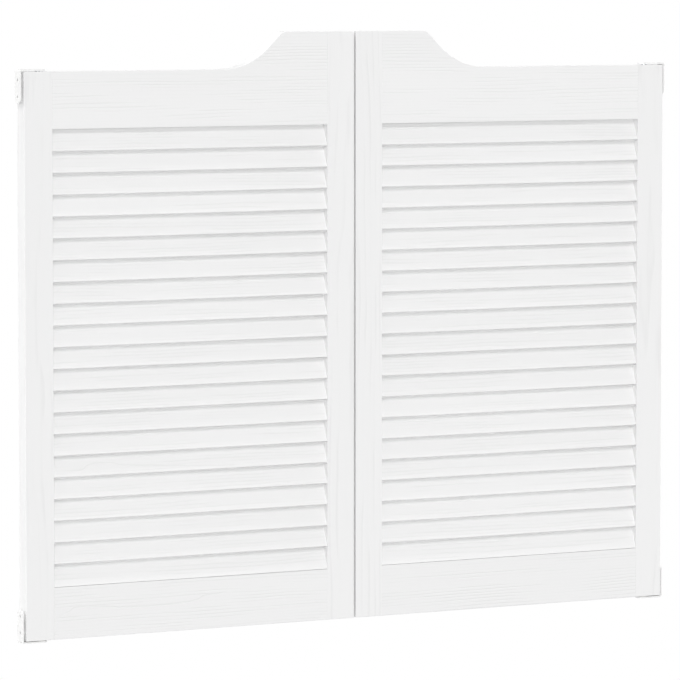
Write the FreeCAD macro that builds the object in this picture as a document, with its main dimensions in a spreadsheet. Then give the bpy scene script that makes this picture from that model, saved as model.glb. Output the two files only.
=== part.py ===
import FreeCAD, Part
import os

import Sketcher

# A pair of louvred cafe doors on jamb brackets, in millimetres.
# +X runs to the right along the closed pair, +Y to the back, +Z up.
# The origin is midway between the leaves, at mid-thickness, level with the foot of the bottom brackets.

SIZES = {
    # frame of a leaf
    "leaf_width": 494,
    "leaf_thickness": 21,
    "stile_width": 41,
    "top_rail_height": 75.5,
    "bottom_rail_height": 69.3,
    "edge_ease": 1,
    # raised crest beside the meeting edge
    "crest_rise": 50,
    "crest_length": 110,
    "ramp_angle": 44,
    "crest_radius": 14,
    "foot_radius": 100,
    # louvre
    "slat_count": 21,
    "slat_pitch": 28.7,
    "slat_thickness": 6.5,
    "slat_lean": 22.5,
    "slat_setback": 1,
    "slat_edge_ease": 0.8,
    "groove_depth": 6,
    "groove_clearance": 0.1,
    "slat_end_gap": 0.3,
    "slat_trim_gap": 0.2,
    # mortise and tenon joints
    "tenon_length": 25,
    "tenon_thickness": 8,
    "tenon_shoulder": 8,
    "tenon_cover": 6,
    "tenon_clearance": 0.1,
    "tenon_end_gap": 0.5,
    # pivot sockets let into the ends of the hinge stile
    "pin_clearance": 0.05,
    "socket_wall": 2.45,
    "socket_depth": 28,
    "socket_floor": 2,
    "flange_land": 1,
    "flange_margin": 1.5,
    "mortise_clearance": 0.1,
    "socket_screw_radius": 1.5,
    "socket_screw_head_radius": 3,
    "socket_screw_length": 20,
    "socket_screw_clearance": 0.03,
    # brackets, pins and washers on the jambs
    "pin_radius": 4,
    "pin_chamfer": 0.8,
    "pin_tip_gap": 1.5,
    "pin_seat_clearance": 0.03,
    "washer_width": 3.3,
    "washer_clearance": 0.2,
    "washer_thickness": 1,
    "top_gap": 1,
    "centre_gap": 3,
    "leg_clearance": 0.4,
    "bracket_thickness": 2,
    "bracket_land": 0.5,
    "bracket_bend": 1,
    "bracket_corner": 4,
    "jamb_hole_radius": 2,
    "jamb_countersink_radius": 3.4,
    "jamb_hole_start": 14,
    "jamb_hole_spacing": 22,
    "jamb_hole_margin": 8,
}

# Sizes that follow from the cells, written as FreeCAD expressions.
OPENING_WIDTH = "(sizes.leaf_width - 2 * sizes.stile_width)"
NOSE_HEIGHT = "(sizes.slat_thickness * sin(sizes.slat_lean))"
OPENING_HEIGHT = f"(sizes.slat_count * sizes.slat_pitch + {NOSE_HEIGHT})"
SHOULDER = f"(sizes.bottom_rail_height + {OPENING_HEIGHT} + sizes.top_rail_height)"
CREST = f"({SHOULDER} + sizes.crest_rise)"
SLAT_WIDTH = (
    "((sizes.leaf_thickness - 2 * sizes.slat_setback"
    " - sizes.slat_thickness * cos(sizes.slat_lean)) / sin(sizes.slat_lean))"
)
SLAT_RISE = f"({SLAT_WIDTH} * cos(sizes.slat_lean) + {NOSE_HEIGHT})"
SLAT_LENGTH = f"({OPENING_WIDTH} + 2 * (sizes.groove_depth - sizes.slat_end_gap))"
TENON_START = "(sizes.socket_depth + sizes.tenon_cover)"
BORE_RADIUS = "(sizes.pin_radius + sizes.pin_clearance)"
BLOCK_HALF_WIDTH = f"({BORE_RADIUS} + sizes.socket_wall)"
SCREW_OFFSET = f"({BLOCK_HALF_WIDTH} + sizes.flange_land + sizes.socket_screw_head_radius)"
FLANGE_THICKNESS = "(sizes.socket_screw_head_radius - sizes.socket_screw_radius)"
FLANGE_HALF_LENGTH = f"({SCREW_OFFSET} + sizes.socket_screw_head_radius + sizes.flange_land)"
FLANGE_HALF_WIDTH = f"({BLOCK_HALF_WIDTH} + sizes.flange_land)"
PIVOT_INSET = f"({FLANGE_HALF_LENGTH} + sizes.flange_margin)"
PIVOT_BACKSET = f"(sizes.stile_width - {PIVOT_INSET})"
CORNER_SWEEP = f"sqrt({PIVOT_BACKSET} ^ 2 + (sizes.leaf_thickness / 2) ^ 2)"
JAMB_REACH = f"({CORNER_SWEEP} + sizes.leg_clearance + sizes.bracket_thickness)"
PIN_REACH = "(sizes.socket_depth - sizes.socket_floor - sizes.pin_tip_gap)"
WASHER_RADIUS = "(sizes.pin_radius + sizes.washer_clearance + sizes.washer_width)"
BRACKET_HALF_WIDTH = f"({WASHER_RADIUS} + sizes.bracket_land)"
LEG_HEIGHT = "(sizes.jamb_hole_start + sizes.jamb_hole_spacing + sizes.jamb_hole_margin)"

# Places in the row frame. The side is -1 for the left leaf and 1 for the right leaf.
LEAF_BOTTOM = "(sizes.bracket_thickness + sizes.washer_thickness)"
LEAF_SHOULDER = f"({LEAF_BOTTOM} + {SHOULDER})"
MEETING_FACE = "(sizes.centre_gap / 2 + sizes.stile_width)"
HINGE_FACE = f"({MEETING_FACE} + {OPENING_WIDTH})"
PIVOT_PLACE = f"({HINGE_FACE} + {PIVOT_INSET})"
TOP_BRACKET_FACE = f"({LEAF_SHOULDER} + sizes.top_gap + sizes.bracket_thickness)"

SIDES = {"left": -1, "right": 1}

# Edges count as standing at a place within this distance.
SAME_PLACE = 0.01

doc = FreeCAD.newDocument("cafe_doors")
sheet = doc.addObject("Spreadsheet::Sheet", "sizes")
for row, (alias, value) in enumerate(SIZES.items(), start=1):
    sheet.set(f"A{row}", alias)
    sheet.set(f"B{row}", str(value))
    sheet.setAlias(f"B{row}", alias)
doc.recompute()


def number(expression):
    """The value that an expression has with the present cells."""
    return float(sheet.evalExpression(expression))


def new_body(label):
    body = doc.addObject("PartDesign::Body", label)
    body.Label = label
    return body


def place(item, across="0", height="0", flipped=False):
    """Put an item at a distance across and a height, upside down if flipped."""
    if flipped:
        item.Placement = FreeCAD.Placement(
            FreeCAD.Vector(), FreeCAD.Rotation(FreeCAD.Vector(1, 0, 0), 180)
        )
    item.setExpression("Placement.Base.x", across)
    item.setExpression("Placement.Base.z", height)


def new_sketch(body, name, role, offset="0", turn=None):
    """A sketch on one of the body's own planes, moved along the plane's normal or turned in it."""
    plane = next(item for item in body.Origin.OriginFeatures if item.Role == role)
    sketch = body.newObject("Sketcher::SketchObject", name)
    sketch.AttachmentSupport = [(plane, "")]
    sketch.MapMode = "FlatFace"
    if turn:
        sketch.AttachmentOffset = FreeCAD.Placement(
            FreeCAD.Vector(), FreeCAD.Rotation(FreeCAD.Vector(0, 0, 1), number(turn))
        )
        sketch.setExpression("AttachmentOffset.Rotation.Angle", turn)
    sketch.setExpression("AttachmentOffset.Base.z", offset)
    return sketch


def pin_point(sketch, shape, position, across, up):
    """Fix one point of a sketch at its two distances from the sketch's origin."""
    for kind, distance in (("DistanceX", across), ("DistanceY", up)):
        rule = sketch.addConstraint(
            Sketcher.Constraint(kind, -1, 1, shape, position, number(distance))
        )
        sketch.setExpression(f"Constraints[{rule}]", distance)


def add_outline(sketch, corners):
    """Draw a closed outline of straight sides through corners given as expressions."""
    points = [FreeCAD.Vector(number(across), number(up), 0) for across, up in corners]
    first = sketch.GeometryCount
    count = len(points)
    for index in range(count):
        sketch.addGeometry(Part.LineSegment(points[index], points[(index + 1) % count]))
    for index in range(count):
        following = first + (index + 1) % count
        sketch.addConstraint(Sketcher.Constraint("Coincident", first + index, 2, following, 1))
    for index, (across, up) in enumerate(corners):
        pin_point(sketch, first + index, 1, across, up)


def add_rectangle(sketch, left, right, low, high):
    add_outline(sketch, [(left, low), (right, low), (right, high), (left, high)])


def add_circle(sketch, radius):
    """Draw a circle about the sketch's origin."""
    axis = FreeCAD.Vector(0, 0, 1)
    circle = sketch.addGeometry(Part.Circle(FreeCAD.Vector(), axis, number(radius)))
    sketch.addConstraint(Sketcher.Constraint("Coincident", circle, 3, -1, 1))
    rule = sketch.addConstraint(Sketcher.Constraint("Radius", circle, number(radius)))
    sketch.setExpression(f"Constraints[{rule}]", radius)


def add_feature(body, kind, name, sketch=None):
    feature = body.newObject("PartDesign::" + kind, name)
    if sketch:
        feature.Profile = sketch
        sketch.Visibility = False
    return feature


def pad(body, name, sketch, length, symmetric=False, backwards=False):
    feature = add_feature(body, "Pad", name, sketch)
    feature.SideType = "Symmetric" if symmetric else "One side"
    feature.Reversed = backwards
    feature.setExpression("Length", length)
    return feature


def pocket(body, name, sketch, depth, symmetric=False, forwards=False):
    """Cut against the sketch's normal, or along it if forwards."""
    feature = add_feature(body, "Pocket", name, sketch)
    feature.SideType = "Symmetric" if symmetric else "One side"
    feature.Reversed = forwards
    feature.setExpression("Length", depth)
    return feature


def revolve(body, name, sketch):
    feature = add_feature(body, "Revolution", name, sketch)
    feature.ReferenceAxis = (sketch, ["V_Axis"])
    return feature


def pattern(body, name, original, axis_role, spacing, count):
    """Repeat a feature along one of the body's own axes."""
    axis = next(item for item in body.Origin.OriginFeatures if item.Role == axis_role)
    feature = body.newObject("PartDesign::LinearPattern", name)
    feature.Originals = [original]
    feature.Direction = (axis, [""])
    feature.Mode = "Spacing"
    feature.setExpression("Offset", spacing)
    feature.setExpression("Occurrences", count)
    body.Tip = feature
    return feature


def dress_edges(body, kind, name, chosen):
    """Put a fillet or a chamfer on the edges of the body's tip that the test picks out."""
    doc.recompute()
    base = body.Tip
    names = [f"Edge{index}" for index, edge in enumerate(base.Shape.Edges, start=1) if chosen(edge)]
    feature = body.newObject("PartDesign::" + kind, name)
    feature.Base = (base, names)
    return feature


def round_edges(body, name, radius, chosen):
    dress_edges(body, "Fillet", name, chosen).setExpression("Radius", radius)


def bevel_edges(body, name, size, chosen):
    dress_edges(body, "Chamfer", name, chosen).setExpression("Size", size)


def runs_along(direction):
    """A test for straight edges along a direction."""
    def test(edge):
        if edge.Curve.TypeId != "Part::GeomLine":
            return False
        return abs(edge.Curve.Direction.dot(direction)) > 0.9999
    return test


ALONG_X = runs_along(FreeCAD.Vector(1, 0, 0))
ALONG_Y = runs_along(FreeCAD.Vector(0, 1, 0))
ALONG_Z = runs_along(FreeCAD.Vector(0, 0, 1))


def corner_at(across, up):
    """A test for the edge along Y at a corner of an outline, given as expressions."""
    def test(edge):
        middle = edge.CenterOfMass
        beside = abs(middle.x - number(across)) < SAME_PLACE
        level = abs(middle.z - number(up)) < SAME_PLACE
        return beside and level and ALONG_Y(edge)
    return test


def tenon_spans(meeting_end):
    """Lowest and highest point of the lower and the upper tenon, above the foot of the leaf."""
    top = CREST if meeting_end else SHOULDER
    return [
        (TENON_START, "(sizes.bottom_rail_height - sizes.tenon_shoulder)"),
        (
            f"({SHOULDER} - sizes.top_rail_height + sizes.tenon_shoulder)",
            f"({top} - {TENON_START})",
        ),
    ]


def make_stile(label, wood_side, height):
    """A stile with its slat side on the body's YZ plane and its wood on the given side."""
    body = new_body(label)
    section = new_sketch(body, label + "_face", "YZ_Plane")
    half = "sizes.leaf_thickness / 2"
    add_rectangle(section, f"-{half}", half, "0", height)
    pad(body, label + "_board", section, "sizes.stile_width", backwards=wood_side < 0)
    bevel_edges(body, label + "_ease", "sizes.edge_ease", ALONG_Z)

    lowest = f"(sizes.bottom_rail_height + {SLAT_RISE} / 2)"
    groove = new_sketch(body, label + "_groove_outline", "YZ_Plane", turn="360 - sizes.slat_lean")
    half_width = f"({SLAT_WIDTH} / 2 + sizes.groove_clearance)"
    half_thickness = "(sizes.slat_thickness / 2 + sizes.groove_clearance)"
    groove.setExpression("AttachmentOffset.Base.y", lowest)
    add_rectangle(groove, f"-{half_thickness}", half_thickness, f"-{half_width}", half_width)
    cut = pocket(body, label + "_groove", groove, "sizes.groove_depth", forwards=wood_side > 0)
    pattern(body, label + "_grooves", cut, "Z_Axis", "sizes.slat_pitch", "sizes.slat_count")
    return body


def mortise_stile(body, label, wood_side, meeting_end):
    """Mortises in the slat side of a stile for the tenons of both rails."""
    half = "(sizes.tenon_thickness / 2 + sizes.tenon_clearance)"
    sketch = new_sketch(body, label + "_mortise_outlines", "YZ_Plane")
    for low, high in tenon_spans(meeting_end):
        lowest = f"{low} - sizes.tenon_clearance"
        highest = f"{high} + sizes.tenon_clearance"
        add_rectangle(sketch, f"-{half}", half, lowest, highest)
    depth = "sizes.tenon_length + sizes.tenon_end_gap"
    pocket(body, label + "_mortises", sketch, depth, forwards=wood_side > 0)


def mortise_end(body, label, wood_side, height, upper):
    """Let a pivot socket into one end of a hinge stile."""
    pivot = f"{wood_side} * {PIVOT_INSET}"
    gap = "sizes.mortise_clearance"
    recess = new_sketch(body, label + "_recess_outline", "XY_Plane", offset=height)
    add_rectangle(
        recess,
        f"{pivot} - {FLANGE_HALF_LENGTH} - {gap}",
        f"{pivot} + {FLANGE_HALF_LENGTH} + {gap}",
        f"-{FLANGE_HALF_WIDTH} - {gap}",
        f"{FLANGE_HALF_WIDTH} + {gap}",
    )
    pocket(body, label + "_recess", recess, FLANGE_THICKNESS, forwards=not upper)
    mortise = new_sketch(body, label + "_mortise_outline", "XY_Plane", offset=height)
    half = f"({BLOCK_HALF_WIDTH} + {gap})"
    add_rectangle(mortise, f"{pivot} - {half}", f"{pivot} + {half}", f"-{half}", half)
    pocket(body, label + "_mortise", mortise, f"sizes.socket_depth + {gap}", forwards=not upper)


def make_hinge_stile(side_name, side):
    label = f"{side_name}_hinge_stile"
    body = make_stile(label, side, SHOULDER)
    mortise_stile(body, label, side, meeting_end=False)
    mortise_end(body, label + "_foot", side, "0", upper=False)
    mortise_end(body, label + "_head", side, SHOULDER, upper=True)
    place(body, f"{side} * {HINGE_FACE}", LEAF_BOTTOM)
    return body


def make_meeting_stile(side_name, side):
    label = f"{side_name}_meeting_stile"
    body = make_stile(label, -side, CREST)
    mortise_stile(body, label, -side, meeting_end=True)
    place(body, f"{side} * {MEETING_FACE}", LEAF_BOTTOM)
    return body


def add_tenon(body, label, middle, tip, low, high):
    """A tenon from the middle of a rail out past its end."""
    outline = new_sketch(body, label + "_outline", "XZ_Plane")
    add_rectangle(outline, middle, tip, low, high)
    pad(body, label, outline, "sizes.tenon_thickness", symmetric=True)


def add_tenons(body, label, side, foot, upper):
    """Tenons at both ends of a rail whose foot is at the given height in the leaf."""
    index = 1 if upper else 0
    middle = f"{side} * {OPENING_WIDTH} / 2"
    ends = (
        ("meeting", f"{-side} * sizes.tenon_length"),
        ("hinge", f"{side} * ({OPENING_WIDTH} + sizes.tenon_length)"),
    )
    for end, tip in ends:
        low, high = tenon_spans(end == "meeting")[index]
        add_tenon(body, f"{label}_{end}_tenon", middle, tip, f"{low} - {foot}", f"{high} - {foot}")


def make_bottom_rail(side_name, side):
    label = f"{side_name}_bottom_rail"
    body = new_body(label)
    outline = new_sketch(body, label + "_outline", "XZ_Plane")
    add_rectangle(outline, "0", f"{side} * {OPENING_WIDTH}", "0", "sizes.bottom_rail_height")
    pad(body, label + "_board", outline, "sizes.leaf_thickness", symmetric=True)
    bevel_edges(body, label + "_ease", "sizes.edge_ease", ALONG_X)
    add_tenons(body, label, side, "0", upper=False)
    place(body, f"{side} * {MEETING_FACE}", LEAF_BOTTOM)
    return body


def make_top_rail(side_name, side):
    """The shaped rail: a level crest, a ramp with a rounded brow and a hollow foot, then the shoulder."""
    label = f"{side_name}_top_rail"
    body = new_body(label)
    brow = "(sizes.crest_length - sizes.stile_width)"
    foot = f"({brow} + sizes.crest_rise / tan(sizes.ramp_angle))"
    low = "sizes.top_rail_height"
    high = "(sizes.top_rail_height + sizes.crest_rise)"
    outline = new_sketch(body, label + "_outline", "XZ_Plane")
    add_outline(outline, [
        ("0", "0"),
        (f"{side} * {OPENING_WIDTH}", "0"),
        (f"{side} * {OPENING_WIDTH}", low),
        (f"{side} * {foot}", low),
        (f"{side} * {brow}", high),
        ("0", high),
    ])
    pad(body, label + "_board", outline, "sizes.leaf_thickness", symmetric=True)

    round_edges(body, label + "_brow", "sizes.crest_radius", corner_at(f"{side} * {brow}", high))
    round_edges(body, label + "_hollow", "sizes.foot_radius", corner_at(f"{side} * {foot}", low))
    ends = (0, side * number(OPENING_WIDTH))
    half = number("sizes.leaf_thickness / 2")

    def is_long_edge(edge):
        middle = edge.CenterOfMass
        on_end = any(abs(middle.x - end) < SAME_PLACE for end in ends)
        return not on_end and abs(abs(middle.y) - half) < SAME_PLACE

    bevel_edges(body, label + "_ease", "sizes.edge_ease", is_long_edge)
    rail_foot = f"({SHOULDER} - sizes.top_rail_height)"
    add_tenons(body, label, side, rail_foot, upper=True)
    place(body, f"{side} * {MEETING_FACE}", f"{LEAF_BOTTOM} + {rail_foot}")
    return body


def make_slat(side_name, side, index, count):
    """A leaning slat. The first one is ripped level along its top to fit under the rail."""
    label = f"{side_name}_slat_{index:02d}"
    body = new_body(label)
    section = new_sketch(body, label + "_section", "YZ_Plane")
    half_thickness = "sizes.slat_thickness / 2"
    half_width = f"{SLAT_WIDTH} / 2"
    add_rectangle(section, f"-{half_thickness}", half_thickness, f"-{half_width}", half_width)
    pad(body, label + "_board", section, SLAT_LENGTH, symmetric=True)
    bevel_edges(body, label + "_ease", "sizes.slat_edge_ease", ALONG_X)
    height = f"(sizes.bottom_rail_height + {SLAT_RISE} / 2 + {count - index} * sizes.slat_pitch)"
    if index == 1:
        rail_foot = f"(sizes.bottom_rail_height + {OPENING_HEIGHT})"
        trim = new_sketch(body, label + "_trim_outline", "YZ_Plane", turn="sizes.slat_lean")
        level = f"{rail_foot} - sizes.slat_trim_gap - {height}"
        add_rectangle(trim, "-sizes.leaf_thickness", "sizes.leaf_thickness", level, SLAT_RISE)
        pocket(body, label + "_trim", trim, f"2 * {SLAT_LENGTH}", symmetric=True)
    body.Placement = FreeCAD.Placement(
        FreeCAD.Vector(), FreeCAD.Rotation(FreeCAD.Vector(-1, 0, 0), number("sizes.slat_lean"))
    )
    body.setExpression("Placement.Rotation.Angle", "sizes.slat_lean")
    place(body, f"{side} * ({MEETING_FACE} + {OPENING_WIDTH} / 2)", f"{LEAF_BOTTOM} + {height}")
    return body


def make_group(label, members):
    """Join separate solids in one node."""
    group = doc.addObject("Part::Compound", label)
    group.Label = label
    group.Links = members
    return group


def make_socket(label):
    """A square block that can't turn in the wood, on a flange, with its bore open downwards."""
    body = new_body(label)
    flange = new_sketch(body, label + "_flange_outline", "XY_Plane")
    add_rectangle(
        flange,
        f"-{FLANGE_HALF_LENGTH}",
        FLANGE_HALF_LENGTH,
        f"-{FLANGE_HALF_WIDTH}",
        FLANGE_HALF_WIDTH,
    )
    pad(body, label + "_flange", flange, FLANGE_THICKNESS)
    block = new_sketch(body, label + "_block_outline", "XY_Plane")
    add_rectangle(
        block, f"-{BLOCK_HALF_WIDTH}", BLOCK_HALF_WIDTH, f"-{BLOCK_HALF_WIDTH}", BLOCK_HALF_WIDTH
    )
    pad(body, label + "_block", block, "sizes.socket_depth")
    bore = new_sketch(body, label + "_bore_outline", "XY_Plane")
    add_circle(bore, BORE_RADIUS)
    depth = "sizes.socket_depth - sizes.socket_floor"
    pocket(body, label + "_bore", bore, depth, forwards=True)
    sink_screws(body, label)
    return body


def sink_screws(body, label):
    """Countersunk holes through the flange, one at each side of the block."""
    wide = "(sizes.socket_screw_head_radius + sizes.socket_screw_clearance)"
    narrow = "(sizes.socket_screw_radius + sizes.socket_screw_clearance)"
    for sign, name in ((-1, "near"), (1, "far")):
        middle = f"{sign} * {SCREW_OFFSET}"
        profile = new_sketch(body, f"{label}_{name}_sink", "XZ_Plane")
        add_outline(profile, [
            (middle, "0"),
            (f"{middle} + {wide}", "0"),
            (f"{middle} + {narrow}", FLANGE_THICKNESS),
            (middle, FLANGE_THICKNESS),
        ])
        cut = add_feature(body, "Groove", f"{label}_{name}_hole", profile)
        cut.ReferenceAxis = (profile, ["Edge4"])


def make_screw(label):
    """A countersunk screw with its head level with the XY plane and its end up."""
    body = new_body(label)
    profile = new_sketch(body, label + "_profile", "XZ_Plane")
    head = "sizes.socket_screw_head_radius"
    shank = "sizes.socket_screw_radius"
    length = "sizes.socket_screw_length"
    add_outline(profile, [
        ("0", "0"),
        (head, "0"),
        (shank, FLANGE_THICKNESS),
        (shank, length),
        ("0", length),
    ])
    revolve(body, label + "_turned", profile)
    return body


def make_leaf_hardware(side_name, side):
    """The sockets in both ends of a hinge stile, and their screws."""
    sockets = []
    screws = []
    pivot = f"{side} * {PIVOT_PLACE}"
    for end, height, flipped in (("bottom", LEAF_BOTTOM, False), ("top", LEAF_SHOULDER, True)):
        socket = make_socket(f"{side_name}_{end}_socket")
        place(socket, pivot, height, flipped)
        sockets.append(socket)
        for sign, name in ((-1, "near"), (1, "far")):
            screw = make_screw(f"{side_name}_{end}_{name}_screw")
            place(screw, f"{pivot} + {sign} * {SCREW_OFFSET}", height, flipped)
            screws.append(screw)
    return [
        make_group(f"{side_name}_pivot_sockets", sockets),
        make_group(f"{side_name}_socket_screws", screws),
    ]


def make_bracket(label, side):
    """An angle bracket: a shelf under the pivot and a leg up the jamb. The pivot is the Z axis."""
    body = new_body(label)
    thick = "sizes.bracket_thickness"
    tip = f"{-side} * {BRACKET_HALF_WIDTH}"
    jamb = f"{side} * {JAMB_REACH}"
    inner = f"{side} * ({JAMB_REACH} - {thick})"
    section = new_sketch(body, label + "_section", "XZ_Plane")
    add_outline(section, [
        (tip, "0"),
        (jamb, "0"),
        (jamb, LEG_HEIGHT),
        (inner, LEG_HEIGHT),
        (inner, thick),
        (tip, thick),
    ])
    pad(body, label + "_angle", section, f"2 * {BRACKET_HALF_WIDTH}", symmetric=True)

    def at_corner(edge):
        middle = edge.CenterOfMass
        on_tip = ALONG_Z(edge) and abs(middle.x - number(tip)) < SAME_PLACE
        on_leg = ALONG_X(edge) and abs(middle.z - number(LEG_HEIGHT)) < SAME_PLACE
        return on_tip or on_leg

    round_edges(body, label + "_inner_bend", "sizes.bracket_bend", corner_at(inner, thick))
    outer_radius = f"sizes.bracket_bend + {thick}"
    round_edges(body, label + "_outer_bend", outer_radius, corner_at(jamb, "0"))
    bevel_edges(body, label + "_corners", "sizes.bracket_corner", at_corner)

    seat = new_sketch(body, label + "_seat_outline", "XY_Plane")
    add_circle(seat, "sizes.pin_radius + sizes.pin_seat_clearance")
    pocket(body, label + "_seat", seat, f"2 * {thick}", symmetric=True)
    sink_jamb_holes(body, label, side)
    return body


def sink_jamb_holes(body, label, side):
    """Two countersunk holes through the leg, sunk from the side of the leaf."""
    inner = f"{side} * ({JAMB_REACH} - sizes.bracket_thickness)"
    wide = "sizes.jamb_countersink_radius"
    narrow = "sizes.jamb_hole_radius"
    for index, rise in enumerate(("0", "sizes.jamb_hole_spacing"), start=1):
        middle = f"(sizes.jamb_hole_start + {rise})"
        profile = new_sketch(body, f"{label}_sink_{index}", "XZ_Plane")
        add_outline(profile, [
            (inner, middle),
            (inner, f"{middle} + {wide}"),
            (f"{inner} + {side} * ({wide} - {narrow})", f"{middle} + {narrow}"),
            (f"{inner} + {side} * 2 * sizes.bracket_thickness", f"{middle} + {narrow}"),
            (f"{inner} + {side} * 2 * sizes.bracket_thickness", middle),
        ])
        cut = add_feature(body, "Groove", f"{label}_hole_{index}", profile)
        cut.ReferenceAxis = (profile, ["Edge5"])


def make_pin(label, stack):
    """A pivot pin that starts at the bracket's outer face and passes what lies between."""
    body = new_body(label)
    length = f"(sizes.bracket_thickness + {stack} + {PIN_REACH})"
    profile = new_sketch(body, label + "_profile", "XZ_Plane")
    add_outline(profile, [
        ("0", "0"),
        ("sizes.pin_radius", "0"),
        ("sizes.pin_radius", f"{length} - sizes.pin_chamfer"),
        ("sizes.pin_radius - sizes.pin_chamfer", length),
        ("0", length),
    ])
    revolve(body, label + "_turned", profile)
    return body


def make_washer(label):
    body = new_body(label)
    outline = new_sketch(body, label + "_outline", "XY_Plane")
    add_circle(outline, WASHER_RADIUS)
    add_circle(outline, "sizes.pin_radius + sizes.washer_clearance")
    pad(body, label + "_ring", outline, "sizes.washer_thickness")
    return body


def make_jamb_hardware():
    """Brackets, pins and thrust washers, which stay with the jambs."""
    groups = {"top_brackets": [], "bottom_brackets": [], "pivot_pins": [], "thrust_washers": []}
    for side_name, side in SIDES.items():
        pivot = f"{side} * {PIVOT_PLACE}"
        ends = (
            ("bottom", "0", False, "sizes.washer_thickness"),
            ("top", TOP_BRACKET_FACE, True, "sizes.top_gap"),
        )
        for end, height, flipped, stack in ends:
            bracket = make_bracket(f"{side_name}_{end}_bracket", side)
            place(bracket, pivot, height, flipped)
            groups[f"{end}_brackets"].append(bracket)
            pin = make_pin(f"{side_name}_{end}_pin", stack)
            place(pin, pivot, height, flipped)
            groups["pivot_pins"].append(pin)
        washer = make_washer(f"{side_name}_washer")
        place(washer, pivot, "sizes.bracket_thickness")
        groups["thrust_washers"].append(washer)
    return [make_group(label, members) for label, members in groups.items()]


def make_leaf(side_name, side):
    count = int(number("sizes.slat_count"))
    pieces = [
        make_hinge_stile(side_name, side),
        make_meeting_stile(side_name, side),
        make_top_rail(side_name, side),
        make_bottom_rail(side_name, side),
    ]
    pieces += [make_slat(side_name, side, index, count) for index in range(1, count + 1)]
    pieces += make_leaf_hardware(side_name, side)
    return pieces


def check_model(nodes):
    """Stop if any object failed or any node has no valid shape."""
    for item in doc.Objects:
        if "Invalid" in item.State or "Error" in item.State:
            raise RuntimeError(f"{item.Label} failed: {item.State}")
    for node in nodes:
        if node.Shape.isNull() or not node.Shape.isValid() or not node.Shape.Solids:
            raise RuntimeError(f"{node.Label} has no valid solid")


nodes = make_jamb_hardware()
for side_name, side in SIDES.items():
    nodes += make_leaf(side_name, side)
doc.recompute()
check_model(nodes)

os.makedirs("parts", exist_ok=True)
for node in nodes:
    node.Shape.exportStep(f"parts/{node.Label}.step")
    print(node.Label, len(node.Shape.Solids), round(node.Shape.Volume, 1))
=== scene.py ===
import math
from collections import namedtuple

import bmesh
import bpy
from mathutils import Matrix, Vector


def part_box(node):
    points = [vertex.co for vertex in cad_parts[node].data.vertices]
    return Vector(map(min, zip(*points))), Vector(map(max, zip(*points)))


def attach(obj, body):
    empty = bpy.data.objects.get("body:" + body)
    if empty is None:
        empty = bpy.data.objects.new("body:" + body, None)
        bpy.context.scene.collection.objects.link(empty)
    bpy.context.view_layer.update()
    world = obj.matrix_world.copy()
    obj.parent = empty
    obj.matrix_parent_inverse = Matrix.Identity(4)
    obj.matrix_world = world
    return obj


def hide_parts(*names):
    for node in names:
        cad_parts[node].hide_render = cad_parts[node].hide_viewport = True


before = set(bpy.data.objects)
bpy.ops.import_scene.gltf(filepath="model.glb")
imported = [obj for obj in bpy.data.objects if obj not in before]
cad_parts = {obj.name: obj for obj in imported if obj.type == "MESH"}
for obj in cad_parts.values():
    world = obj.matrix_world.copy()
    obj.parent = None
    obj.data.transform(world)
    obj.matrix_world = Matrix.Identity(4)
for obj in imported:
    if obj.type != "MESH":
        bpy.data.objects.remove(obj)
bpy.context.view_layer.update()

# A pair of louvred cafe doors in white satin paint, in metres.
# +X runs to the right along the closed pair, +Y to the back, +Z up.
MM = 0.001
X_AXIS = 0
Z_AXIS = 2
RIGHT_ANGLE = math.radians(90)
WHITE = (1.0, 1.0, 1.0, 1.0)
# The way each leaf runs from the centre gap to its hinge stile.
SIDES = {"left": -1, "right": 1}
STILES = ("hinge_stile", "meeting_stile")
SLAT_COUNT = 21
FIRST_SEED = 3

# Louvre slats, set back from both faces of the stiles and let into grooves in them.
SLAT_THICKNESS = 6.5 * MM
SLAT_LEAN = math.radians(22.5)
SLAT_SETBACK = 1.0 * MM
SLAT_ROUND = 0.8 * MM
SLAT_ROUND_STEPS = 4
# The top slat is ripped level this far below the top rail.
SLAT_TRIM_GAP = 0.2 * MM
# The lowest slat's lower edge, found with a margin, keeps this share of its height over the bottom rail.
SLAT_SEAT_SHARE = 0.15
SLAT_SEAT_MARGIN = 0.5 * MM
# The grooves are this much wider than the slats all round. Their cutter's level lies clear above it.
GROOVE_CLEARANCE = 0.1 * MM
GROOVE_LEVEL_RAISE = 1.0

# The top rail's outline: a level crest, a rounded brow, a ramp and its hollow foot.
CREST_LENGTH = 110 * MM
RAMP_ANGLE = math.radians(44)
BROW_RADIUS = 14 * MM
HOLLOW_RADIUS = 100 * MM
CURVE_STEPS = 24

# Rounded edges of the boards. Edges within reach of a leaf's inner lines are rounded less.
EDGE_ROUND = 0.6 * MM
INNER_EDGE_ROUND = 0.25 * MM
EDGE_ROUND_STEPS = 3
EDGE_ANGLE = math.radians(50)
LINE_REACH = 0.05 * MM
# The largest weight of a Weighted Normal modifier.
FACE_WEIGHT = 100

# Recesses for the pivot sockets in the ends of the hinge stiles.
FLANGE_THICKNESS = 1.5 * MM
BLOCK_HALF_WIDTH = 6.5 * MM
SOCKET_DEPTH = 28 * MM
SOCKET_CLEARANCE = 0.1 * MM
CUT_OVERRUN = 5 * MM
CUT_OVERLAP = 1 * MM

# Screws that hold the sockets, with a cut thread and a cross recess.
SCREW_LENGTH = 20 * MM
SCREW_POINT = 3.0 * MM
SCREW_PITCH = 1.35 * MM
SCREW_SIDES = 24
# The core's share of the shank's radius, and where core and thread start, as shares of the head's height.
SCREW_CORE_SHARE = 0.72
SHANK_START_SHARE = 0.9
THREAD_START_SHARE = 1.2
THREAD_SIDES = 3
CROSS_REACH = 3.6 * MM
CROSS_WIDTH = 0.75 * MM
CROSS_DEPTH = 1.3 * MM
SLIVER_DISTANCE = 0.004 * MM

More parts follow.
